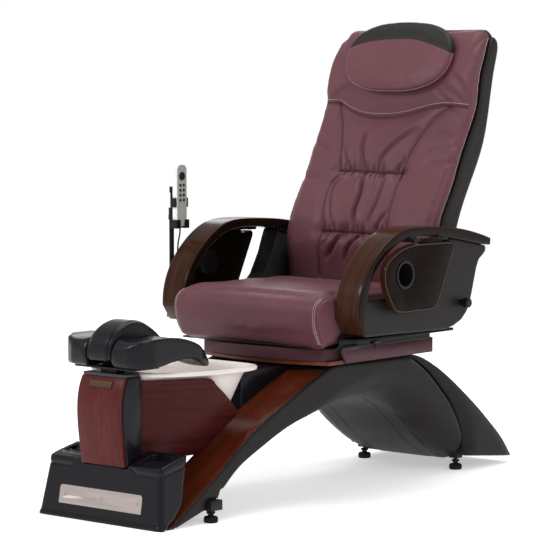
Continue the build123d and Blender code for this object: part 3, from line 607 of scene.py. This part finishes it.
# Each crease: depth and width in millimetres, then its points.
CREASES = [
    (7, 11, [(-114, 932), (-140, 875), (-125, 813), (-91, 751)]),
    (13, 12, [(-47, 926), (-24, 864), (-23, 812), (-11, 747)]),
    (8, 10, [(30, 923), (49, 881), (50, 829), (42, 790), (39, 750)]),
    (8, 12, [(-52, 938), (-77, 989), (-84, 1028), (-75, 1067)]),
    (8, 12, [(4, 937), (9, 971), (32, 1006), (78, 1045), (127, 1075)]),
    (6, 10, [(-106, 937), (-135, 968), (-153, 1002)]),
    (5, 8, [(74, 934), (94, 959), (97, 983)]),
    (12, 12, [(-60, 741), (-84, 703), (-119, 652)]),
    (9, 10, [(19, 741), (-4, 721), (-31, 690), (-50, 640)]),
    (7, 10, [(75, 741), (60, 700), (30, 650)]),
    (6, 9, [(-110, 741), (-118, 715), (-135, 690)]),
    (6, 9, [(-129, 924), (-150, 904), (-158, 879)]),
    (7, 9, [(100, 812), (83, 778), (66, 745)]),
    (3, 16, [(288, 1013), (227, 1007), (172, 994), (119, 974)]),
    (3, 16, [(288, 963), (235, 957), (166, 949)]),
    (3, 18, [(251, 1039), (197, 1052), (157, 1061)]),
    (4, 14, [(176, 1197), (217, 1173), (276, 1135)]),
    (4, 14, [(208, 1226), (249, 1197), (288, 1149)]),
    (3, 14, [(148, 1187), (182, 1163), (223, 1134)]),
    (3, 12, [(213, 1125), (246, 1106), (277, 1096)]),
    (3, 16, [(-288, 1013), (-240, 1000), (-190, 985)]),
    (3, 16, [(-288, 900), (-240, 905), (-190, 915)]),
    (3, 14, [(-176, 1197), (-217, 1173), (-276, 1140)]),
]


def carve_back(piece):
    mesh = piece.data
    points = coordinates(mesh)
    facing = normals(mesh)
    front = np.clip(-facing[:, 1] * 1.6, 0, 1)
    flat = points[:, [0, 2]]
    depth = np.zeros(len(points))
    # Painted shade: as well as the carved depth, each point gets how strongly the vinyl's colour is darkened
    # in the seams, gathers and creases.
    painted_crease_shade = np.zeros(len(points))
    for seam in (YOKE, CENTRE_LEFT, CENTRE_RIGHT):
        gap, _ = distance_to_line(flat, smooth_line(np.array(seam) * MM, 0.02))
        depth += 0.005 * groove(gap, 0.0040) + 0.006 * groove(gap, 0.018)
        painted_crease_shade = np.maximum(painted_crease_shade, 0.75 * groove(gap, 0.0030))
    for seam in GATHERS:
        gap, _ = distance_to_line(flat, smooth_line(np.array(seam) * MM, 0.02))
        pleat = 0.5 + 0.5 * np.sin(points[:, 0] / 0.0145 * pi + 3 * np.sin(points[:, 0] * 60))
        depth += 0.008 * groove(gap, 0.0032) + 0.011 * groove(gap, 0.022)
        depth += 0.010 * (pleat - 0.4) * groove(gap - 0.010, 0.013)
        painted_crease_shade = np.maximum(painted_crease_shade, 0.8 * groove(gap, 0.0022))
        painted_crease_shade = np.maximum(painted_crease_shade, 0.55 * pleat ** 2 * groove(gap - 0.006, 0.008))
    for deep, width, line in CREASES:
        gap, place = distance_to_line(flat, smooth_line(np.array(line) * MM, 0.015))
        taper = np.minimum(1.0, 3.2 * np.minimum(place + 0.12, 1.0 - place))
        core = groove(gap, 0.75 * width * MM)
        depth += 1.9 * deep * MM * taper * (core - 0.42 * groove(gap, 1.9 * width * MM))
        painted_crease_shade = np.maximum(painted_crease_shade, np.minimum(0.75, 0.06 * deep) * taper * groove(gap, 0.40 * width * MM))
    put(mesh, points - facing * (depth * front)[:, None])
    attribute = mesh.attributes.new("painted_crease_shade", "FLOAT", "POINT")
    attribute.data.foreach_set("value", np.clip(painted_crease_shade * front, 0, 1).astype(np.float32))


BACK_HALF, BACK_TOP = 0.290, 1.366


def round_shoulders(points):
    """Rounds the two upper corners of the backrest as seen from the front."""
    width, height = 0.050, 0.095
    across = (np.abs(points[:, 0]) - (BACK_HALF - width)) / width
    upward = (points[:, 2] - (BACK_TOP - height)) / height
    corner = (across > 0) & (upward > 0)
    reach = np.hypot(across, upward)
    pull = np.where(corner, np.maximum(across, upward) / np.maximum(reach, 1e-9), 1.0)
    moved = points.copy()
    moved[:, 0] = np.where(corner, np.sign(points[:, 0]) * (BACK_HALF - width + width * across * pull),
                           points[:, 0])
    moved[:, 2] = np.where(corner, BACK_TOP - height + height * upward * pull, points[:, 2])
    rise = np.clip((points[:, 2] - 1.24) / 0.12, 0, 1)
    moved[:, 2] += 0.010 * rise * rise * (3 - 2 * rise)
    return moved


# Where the back cushion meets its shell, as (distance behind the front, height) in millimetres.
BACK_EDGE = [(1168, 600), (1166, 660), (1168, 740), (1188, 800), (1237, 880), (1277, 960), (1334, 1065),
             (1364, 1130), (1380, 1215), (1404, 1275), (1420, 1305), (1434, 1330), (1440, 1352)]


def make_back():
    piece = soft_copy("back_cushion", "back_pad", 0.006, 12, shrink=0.004)
    swell(piece, 0.010, 3.0)
    modify(piece, "SMOOTH", factor=0.5, iterations=6)
    settle(piece)
    subdivide(piece)
    carve_back(piece)
    put(piece.data, round_shoulders(coordinates(piece.data)))
    dress(piece, "vinyl")
    finish_soft(piece, "back", "back_cushion")
    rows = [front_line(piece, [(x, z + 9) for x, z in YOKE])]
    for side in (-1, 1):
        edge = np.array([(side * 0.292, FRONT + (y - 7) * MM, z * MM) for y, z in BACK_EDGE])
        rows.append(list(round_shoulders(edge)))
    stitches("back_stitching", "back", piece, rows)


def finish_soft(piece, body, node):
    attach(piece, body)
    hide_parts(node)


# Just outside the front edge of the seat cushion, so the stitches land on its surface.
SEAT_SEAM = [(635, 608), (607, 599), (590, 574), (582, 537), (589, 496), (603, 462), (622, 442)]


def make_seat():
    piece = soft_copy("seat_cushion", "seat_pad", 0.006, 14, shrink=0.004)
    swell(piece, 0.012, 3.0)
    modify(piece, "SMOOTH", factor=0.5, iterations=14)
    settle(piece)
    subdivide(piece)
    mesh = piece.data
    points = coordinates(mesh)
    facing = normals(mesh)
    low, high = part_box("seat_cushion")
    inner = high.x - 0.012
    across = np.abs(points[:, 0])
    ahead = np.clip((low.y + 0.10 - points[:, 1]) / 0.06, 0, 1)
    seam = groove(np.abs(across - inner), 0.004) * ahead
    depth = 0.004 * seam + 0.003 * groove(np.abs(across - inner), 0.014) * ahead
    put(mesh, points - facing * depth[:, None])
    dress(piece, "vinyl")
    finish_soft(piece, "seat", "seat_cushion")
    rows = []
    for side in (-1, 1):
        for shift in (-0.007, 0.006):
            rows.append([(side * (inner + shift), FRONT + y * MM, z * MM) for y, z in SEAT_SEAM])
    stitches("seat_stitching", "seat", piece, rows)


PILLOW_UP = np.array((0, 0.423, 0.906))
PILLOW_OUT = np.array((0, 0.906, -0.423))
PILLOW_POWER = 2.5          # 2 would be an ellipse; more is squarer
PILLOW_WIDE, PILLOW_HIGH = 0.206, 0.115      # half width and half height of the pillow
RIM_WIDE, RIM_HIGH = 0.202, 0.117            # and of the stitched rim on it
PILLOW_SPLIT = [(-210, 1296), (-141, 1316), (-54, 1326), (47, 1327), (113, 1315), (187, 1291), (210, 1280)]


def pillow_reach(angle):
    """How far the pillow's rim reaches in a direction, as a share of its half width and height."""
    powers = np.abs(np.cos(angle)) ** PILLOW_POWER + np.abs(np.sin(angle)) ** PILLOW_POWER
    return powers ** (-1 / PILLOW_POWER)


def make_pillow():
    piece = soft_copy("head_pillow", "head_cushion", 0.005, 8, shrink=0.002)
    swell(piece, 0.007, 2.0)
    modify(piece, "SMOOTH", factor=0.5, iterations=10)
    settle(piece)
    subdivide(piece)
    mesh = piece.data
    points = coordinates(mesh)
    middle = (points.min(axis=0) + points.max(axis=0)) / 2
    rise = (points - middle) @ PILLOW_UP
    across = points[:, 0] - middle[0]
    angle = np.arctan2(rise / PILLOW_HIGH, across / PILLOW_WIDE)
    fuller = pillow_reach(angle)
    points[:, 0] += across * (fuller - 1)
    points += np.outer(rise * (fuller * 1.035 - 1) + 0.005, PILLOW_UP)
    line = smooth_line(np.array(PILLOW_SPLIT) * MM, 0.01)
    above = points[:, 2] - 0.006 - np.interp(points[:, 0], line[:, 0], line[:, 1])
    attribute = mesh.attributes.new("dark_part", "FLOAT", "POINT")
    attribute.data.foreach_set("value", above.astype(np.float32))
    put(mesh, points)
    put(mesh, points - normals(mesh) * (0.0015 * groove(above, 0.004))[:, None])
    dress(piece, "pillow_vinyl")
    finish_soft(piece, "pillow", "head_pillow")
    rim = middle - PILLOW_OUT * 0.002 + PILLOW_UP * 0.005
    ring = []
    for k in range(61):
        angle = radians(178 + 190 * k / 60)
        full = pillow_reach(angle)
        sideways = np.array((RIM_WIDE * full * cos(angle), 0, 0))
        ring.append(rim + sideways + PILLOW_UP * (RIM_HIGH * full * sin(angle)))
    stitches("pillow_stitching", "pillow", piece, [ring], radius=0.0006)


def make_back_shell():
    piece = soft_copy("back_shell", "back_shell_cover", 0.005, 6, snap=True)
    put(piece.data, round_shoulders(coordinates(piece.data)))
    finish_hard(piece, "back_shell", "back", "dark_vinyl")


# ---------------------------------------------------------------- footrest
STRAP_HALF = 0.033          # half width of the raised middle of the strap


def make_footrest():
    for side in ("left", "right"):
        piece = soft_copy(f"footrest_pad_{side}", f"footrest_wing_{side}", 0.004, 22)
        subdivide(piece)
        dress(piece, "skin")
        finish_soft(piece, "footrest", f"footrest_pad_{side}")
    piece = soft_copy("footrest_saddle", "footrest_strap", 0.004, 10)
    subdivide(piece)
    points = coordinates(piece.data)
    facing = normals(piece.data)
    edge = np.abs(points[:, 0]) - STRAP_HALF
    outward = np.clip(1.5 * (1 - np.abs(facing[:, 0])), 0, 1)
    raised = 1 / (1 + np.exp(edge / 0.0008))
    move = (0.0028 * raised - 0.0030 * groove(edge - 0.0015, 0.0016)) * outward
    put(piece.data, points + facing * move[:, None])
    dress(piece, "skin")
    finish_soft(piece, "footrest", "footrest_saddle")


# ---------------------------------------------------------------- base mouldings
# Side-view curves are (distance behind the front edge, height) in millimetres.
SHELL_TOP = [(36, 5), (112, 51), (274, 159), (384, 233), (520, 300), (613, 342), (700, 377), (748, 389),
             (900, 389), (1095, 389), (1122, 375), (1200, 327), (1265, 269), (1318, 216), (1365, 138),
             (1379, 80)]
ARCH = [(262, 89), (328, 139), (429, 185), (532, 225), (642, 252), (850, 275), (1010, 262), (1130, 200),
        (1204, 137), (1298, 72), (1376, 34)]
GROOVE = SHELL_TOP[-6:]
TAIL = [(1102, 389), (1167, 377), (1241, 343), (1333, 285), (1447, 202), (1521, 142), (1588, 82), (1640, 18)]
SHELL_OUT, SHELL_IN = 0.235, 0.098


def side_view(points):
    return np.column_stack([points[:, 1] - FRONT, points[:, 2]])


def round_over(gap, radius):
    """How far a face falls back near an edge that is rounded to a radius."""
    reach = np.clip(radius - gap, 0, radius)
    return radius - np.sqrt(np.maximum(radius ** 2 - reach ** 2, 0))


def finish_hard(piece, node, body, material):
    dress(piece, material)
    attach(piece, body)
    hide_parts(node)


def make_side_shells():
    top = smooth_line(np.array(SHELL_TOP) * MM, 0.02)
    under = smooth_line(np.array(ARCH) * MM, 0.02)
    for side in ("left", "right"):
        node = f"side_shell_{side}"
        piece = soft_copy(node, f"{node}_skin", 0.004, 3, snap=True)
        points = coordinates(piece.data)
        flat = side_view(points)
        top_gap = distance_to_line(flat, top)[0]
        under_gap = distance_to_line(flat, under)[0]
        top_radius = np.interp(flat[:, 0], (0, 0.7, 1.05, 1.38), (0.005, 0.010, 0.020, 0.022))
        under_radius = np.interp(flat[:, 0], (0.26, 0.62, 0.95, 1.38), (0.004, 0.010, 0.085, 0.095))
        outward = np.clip((np.abs(points[:, 0]) - SHELL_IN) / (SHELL_OUT - SHELL_IN), 0, 1)
        fall = np.maximum(round_over(top_gap, top_radius), round_over(under_gap, under_radius))
        points[:, 0] -= np.sign(points[:, 0]) * fall * outward
        put(piece.data, points)
        modify(piece, "SMOOTH", factor=0.5, iterations=3)
        settle(piece)
        finish_hard(piece, node, "base", "shell")


def profile_solid(name, outline, half):
    """Closed solid across the chair from a side-view outline in millimetres."""
    count = len(outline)
    points = [(x, FRONT + y * MM, z * MM) for x in (-half, half) for y, z in outline]
    faces = [tuple(range(count)), tuple(range(2 * count - 1, count - 1, -1))]
    faces += [(k, k + count, (k + 1) % count + count, (k + 1) % count) for k in range(count)]
    mesh = bpy.data.meshes.new(name)
    mesh.from_pydata(points, [], faces)
    piece = bpy.data.objects.new(name, mesh)
    scene.collection.objects.link(piece)
    return piece


def make_rear_cover():
    """Tail of the base behind the groove, slightly pinched along the groove."""
    tail = smooth_line(TAIL, 12)
    front = smooth_line([(y + 6, z + 2) for y, z in GROOVE[::-1]], 12)
    piece = profile_solid("rear_cover_skin", np.vstack([tail, [(1385, 47)], front]).tolist(), 0.235)
    modify(piece, "REMESH", mode="VOXEL", voxel_size=0.004)
    modify(piece, "SMOOTH", factor=0.5, iterations=26)
    settle(piece)
    points = coordinates(piece.data)
    flat = side_view(points)
    tail_gap = distance_to_line(flat, tail * MM)[0]
    groove_gap = distance_to_line(flat, front * MM)[0]
    outward = np.clip((np.abs(points[:, 0]) - 0.1) / 0.135, 0, 1)
    pinch = 0.012 * groove(groove_gap, 0.03) + 0.006 * groove(tail_gap, 0.02)
    points[:, 0] -= np.sign(points[:, 0]) * pinch * outward
    put(piece.data, points)
    finish_hard(piece, "rear_cover", "base", "shell")


LID_HEIGHT, LIP_HEIGHT = 0.148, 0.011
PILLAR_HALF = 0.087                          # the lid stops on either side of the pillar
WELL_ACROSS, WELL_BEHIND, WELL_RING = 0.150, 0.128, 0.058


def make_kick_base():
    """Moulded base: a lidded top with two trays, a lip along the floor and soft corners."""
    piece = soft_copy("kick_base", "kick_base_skin", 0.0035, 8, snap=True)
    points = coordinates(piece.data)
    facing = normals(piece.data)
    across = np.abs(points[:, 0])
    behind = points[:, 1] - FRONT
    height = points[:, 2]
    lid = LID_HEIGHT + 0.19 * np.clip(behind - 0.02, 0, 0.12) + 0.03 * np.clip((0.125 - across) / 0.04, 0, 1)
    sideways = np.clip(1.4 * (1 - np.abs(facing[:, 2])), 0, 1)
    step = 1 / (1 + np.exp(-(height - lid) / 0.0016))
    move = 0.0022 * step * sideways * (across > PILLAR_HALF)
    move -= 0.0030 * groove(height - lid + 0.003, 0.0028) * sideways * (across > PILLAR_HALF)
    move += 0.0030 / (1 + np.exp((height - LIP_HEIGHT) / 0.0012)) * sideways
    points += facing * move[:, None]
    well = groove(np.hypot(across - WELL_ACROSS, behind - WELL_BEHIND) - WELL_RING, 0.0035)
    on_floor = (facing[:, 2] > 0.8) & (height < 0.183) & (height > 0.165)
    points[:, 2] += 0.004 * well * on_floor
    dip = np.clip(1 - np.abs(across - 0.085) / 0.05, 0, 1) * np.clip((height - 0.13) / 0.04, 0, 1)
    points[:, 2] -= 0.006 * dip * np.clip((0.06 - behind) / 0.05, 0, 1)
    put(piece.data, points)
    finish_hard(piece, "kick_base", "base", "base")


PANEL_RISE = 0.006          # lifts the upper edge up to the underside of the arm


def make_side_panels():
    for side in ("left", "right"):
        node = f"side_panel_{side}"
        piece = soft_copy(node, f"{node}_cover", 0.0035, 7, snap=True)
        points = coordinates(piece.data)
        points[:, 2] += PANEL_RISE * np.clip((points[:, 2] - 0.68) / 0.03, 0, 1)
        put(piece.data, points)
        finish_hard(piece, node, "seat", "dark_vinyl")


TRAY_OUTLINE = [(905, 735), (1000, 734.5), (1072, 733), (1084, 729), (1085, 716), (1050, 642), (1012, 566),
                (998, 550), (975, 545), (910, 545), (851, 545), (815, 552), (790, 581), (769, 619),
                (763, 652), (773, 683), (805, 707), (851, 726), (905, 735)]
TRAY_FACE = 0.402


def make_tray_highlights():
    """Painted highlight: a thin light brown line round the face of each tray, standing in for the light
    caught on its rounded edge.
    """
    run = smooth_line(TRAY_OUTLINE, 6)[:-1] * MM
    count = len(run)
    along = np.roll(run, -1, axis=0) - np.roll(run, 1, axis=0)
    along /= np.linalg.norm(along, axis=1, keepdims=True)
    inside = np.column_stack([-along[:, 1], along[:, 0]])
    for side, sign in (("left", 1), ("right", -1)):
        points, faces = [], []
        for (y, z), (iy, iz) in zip(run, inside):
            for k in range(8):
                angle = 2 * pi * k / 8
                reach, lift = 0.0013 * cos(angle), 0.0009 * sin(angle)
                points.append((sign * (TRAY_FACE + lift), FRONT + y + iy * reach, z + iz * reach))
        for ring in range(count):
            for k in range(8):
                a, b = ring * 8 + k, ring * 8 + (k + 1) % 8
                following = (ring + 1) % count * 8
                faces.append((a, b, following + (k + 1) % 8, following + k))
        add_piece(f"painted_tray_highlight_{side}", points, faces, f"folding_tray_{side}", "tray_edge_highlight")


# ---------------------------------------------------------------- foot bowl and its veneered sides
# Half plans as (x, distance behind the front) in millimetres.
RIM_PLAN = [(0, 90), (60, 89), (106, 93), (134, 116), (160, 151), (184, 196), (203, 245), (215, 295),
            (221, 349), (217, 400), (200, 436), (160, 455), (80, 459), (0, 459)]
HIGH_PLAN = [(0, 92), (40, 91), (68, 95), (88, 112), (108, 144), (134, 190), (160, 240), (180, 290),
             (188, 340), (185, 385), (168, 418), (130, 436), (65, 441), (0, 441)]
LOW_PLAN = [(0, 92), (34, 91), (54, 95), (66, 110), (80, 140), (95, 185), (109, 235), (121, 283),
            (125, 320), (121, 352), (108, 380), (84, 394), (42, 398), (0, 398)]
PANEL_HIGH = [(60, 88), (80, 96), (108, 139), (135, 170), (165, 230), (190, 279), (200, 330), (201, 420)]
PANEL_LOW = [(52, 88), (62, 98), (76, 135), (86, 172), (94, 225), (99, 275), (101, 320), (101, 420)]
PANEL_OUTLINE = [(96, 391), (180, 391), (250, 391), (268, 386), (281, 372), (318, 344), (360, 314),
                 (398, 287), (401, 280), (396, 272), (345, 228), (292, 178), (278, 172), (240, 171),
                 (180, 171), (120, 171), (96, 172), (92, 178), (92, 240), (92, 320), (92, 384)]


def bowl_ring(plan, height, inward, count=160):
    """Closed ring of points of a half plan mirrored in x, pulled inwards along its normal."""
    half = smooth_line(np.array(plan, float) * MM, 0.004)
    whole = np.vstack([half, half[-2:0:-1] * (-1, 1)])
    lengths = np.concatenate([[0], np.cumsum(np.linalg.norm(np.diff(np.vstack([whole, whole[:1]]), axis=0),
                                                            axis=1))])
    closed = np.vstack([whole, whole[:1]])
    at = np.linspace(0, lengths[-1], count, endpoint=False)
    ring = np.column_stack([np.interp(at, lengths, closed[:, k]) for k in (0, 1)])
    along = np.roll(ring, -1, axis=0) - np.roll(ring, 1, axis=0)
    inside = np.column_stack([-along[:, 1], along[:, 0]])
    inside /= np.maximum(np.linalg.norm(inside, axis=1, keepdims=True), 1e-9)
    if ((ring.mean(axis=0) - ring) * inside).sum() < 0:
        inside = -inside
    ring = ring + inside * inward
    return [(x, FRONT + y, height) for x, y in ring]


def blend_plans(first, second, share):
    return [tuple(np.array(a) * (1 - share) + np.array(b) * share) for a, b in zip(first, second)]


def make_bowl():
    rings = []
    for height, share, inward in ((0.237, 0.0, 0.004), (0.236, 0.0, 0.0), (0.27, 0.21, 0.0),
                                  (0.31, 0.46, 0.0), (0.35, 0.71, 0.0), (0.385, 0.93, 0.0),
                                  (0.394, 1.0, -0.002)):
        rings.append(bowl_ring(blend_plans(LOW_PLAN, HIGH_PLAN, share), height, inward))
    for height, share in ((0.3975, 0.3), (0.4005, 0.7)):
        rings.append(bowl_ring(blend_plans(HIGH_PLAN, RIM_PLAN, share), height, 0.0))
    for height, inward in ((0.4015, 0.0018), (0.4030, -0.0004), (0.4070, -0.0016), (0.4110, -0.0010),
                           (0.4133, 0.0014), (0.4140, 0.005), (0.4136, 0.010), (0.4115, 0.0145),
                           (0.4070, 0.0180)):
        rings.append(bowl_ring(RIM_PLAN, height, inward))
    for height, share, inward in ((0.398, 1.0, 0.004), (0.385, 0.93, 0.0045), (0.35, 0.71, 0.0045),
                                  (0.31, 0.46, 0.0045), (0.27, 0.21, 0.006), (0.252, 0.08, 0.010),
                                  (0.2425, 0.0, 0.018), (0.2412, 0.0, 0.030)):
        rings.append(bowl_ring(blend_plans(LOW_PLAN, HIGH_PLAN, share), height, inward))
    count = len(rings[0])
    points = [point for ring in rings for point in ring]
    faces = []
    for ring in range(len(rings) - 1):
        for k in range(count):
            a, b = ring * count + k, ring * count + (k + 1) % count
            faces.append((a, b, b + count, a + count))
    for ring, height, flip in ((0, 0.237, False), (len(rings) - 1, 0.2410, True)):
        centre = len(points)
        points.append((0, FRONT + 0.245, height))
        for k in range(count):
            a, b = ring * count + k, ring * count + (k + 1) % count
            faces.append((a, b, centre) if flip else (b, a, centre))
    piece = add_piece("bowl_shell", points, faces, "base", "bowl")
    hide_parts("foot_bowl")


def make_bowl_panels():
    """Bent veneer sides that follow the bowl and run down beside the ramp."""
    high = smooth_line(np.array(PANEL_HIGH, float) * MM, 0.004)
    low = smooth_line(np.array(PANEL_LOW, float) * MM, 0.004)
    edge = smooth_line(np.array(PANEL_OUTLINE + PANEL_OUTLINE[:1], float) * MM, 0.004)[:-1]
    for side, sign in (("left", 1), ("right", -1)):
        work = bmesh.new()
        corners = [work.verts.new((0, y, z)) for y, z in edge]
        work.faces.new(corners)
        low_y, high_y = edge[:, 0].min(), edge[:, 0].max()
        for cut in np.arange(low_y + 0.008, high_y, 0.008):
            bmesh.ops.bisect_plane(work, geom=work.verts[:] + work.edges[:] + work.faces[:],
                                   plane_co=(0, cut, 0), plane_no=(0, 1, 0))
        for cut in np.arange(0.18, 0.39, 0.03):
            bmesh.ops.bisect_plane(work, geom=work.verts[:] + work.edges[:] + work.faces[:],
                                   plane_co=(0, 0, cut), plane_no=(0, 0, 1))
        for vert in work.verts:
            y, z = vert.co.y, vert.co.z
            share = (z - 0.155) / 0.237
            reach = (1 - share) * np.interp(y, low[:, 1], low[:, 0])
            reach += share * np.interp(y, high[:, 1], high[:, 0])
            vert.co = (sign * reach, FRONT + y, z)
        mesh = bpy.data.meshes.new(f"bowl_side_{side}")
        work.to_mesh(mesh)
        work.free()
        piece = bpy.data.objects.new(f"bowl_side_{side}", mesh)
        scene.collection.objects.link(piece)
        modify(piece, "SOLIDIFY", thickness=0.008, offset=-1 if sign > 0 else 1)
        modify(piece, "BEVEL", width=0.0012, segments=2, limit_method="ANGLE", angle_limit=radians(50))
        settle(piece)
        finish_hard(piece, f"bowl_panel_{side}", "base", "bowl_veneer")


# ---------------------------------------------------------------- handset cord
CORD_ROUTE = [(-376, 745, 765.6), (-376.6, 745.4, 742), (-388, 748, 716), (-392, 750, 674),
              (-390.5, 748, 632), (-392, 750, 590), (-391, 747, 552), (-390, 746, 514.2)]
CORD_RADIUS = 0.0025


def make_cord():
    data = bpy.data.curves.new("remote_cord", "CURVE")
    data.dimensions = "3D"
    data.bevel_depth = CORD_RADIUS
    data.bevel_resolution = 4
    data.use_fill_caps = True
    spline = data.splines.new("NURBS")
    spline.points.add(len(CORD_ROUTE) - 1)
    for point, (x, y, z) in zip(spline.points, CORD_ROUTE):
        point.co = (x * MM, FRONT + y * MM, z * MM, 1)
    spline.order_u = 3
    spline.use_endpoint_u = True
    spline.resolution_u = 12
    cord = bpy.data.objects.new("remote_cord", data)
    scene.collection.objects.link(cord)
    data.materials.append(materials["rubber"])
    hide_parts("handset_cord")
    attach(cord, "remote")
    x, y, z = CORD_ROUTE[0]


materials = make_materials()
add_camera()
add_stage()
keep_plain_parts()
make_back_shell()
make_back()
make_seat()
make_pillow()
make_footrest()
make_side_shells()
make_rear_cover()
make_kick_base()
make_side_panels()
make_tray_highlights()
make_bowl()
make_bowl_panels()
make_cord()
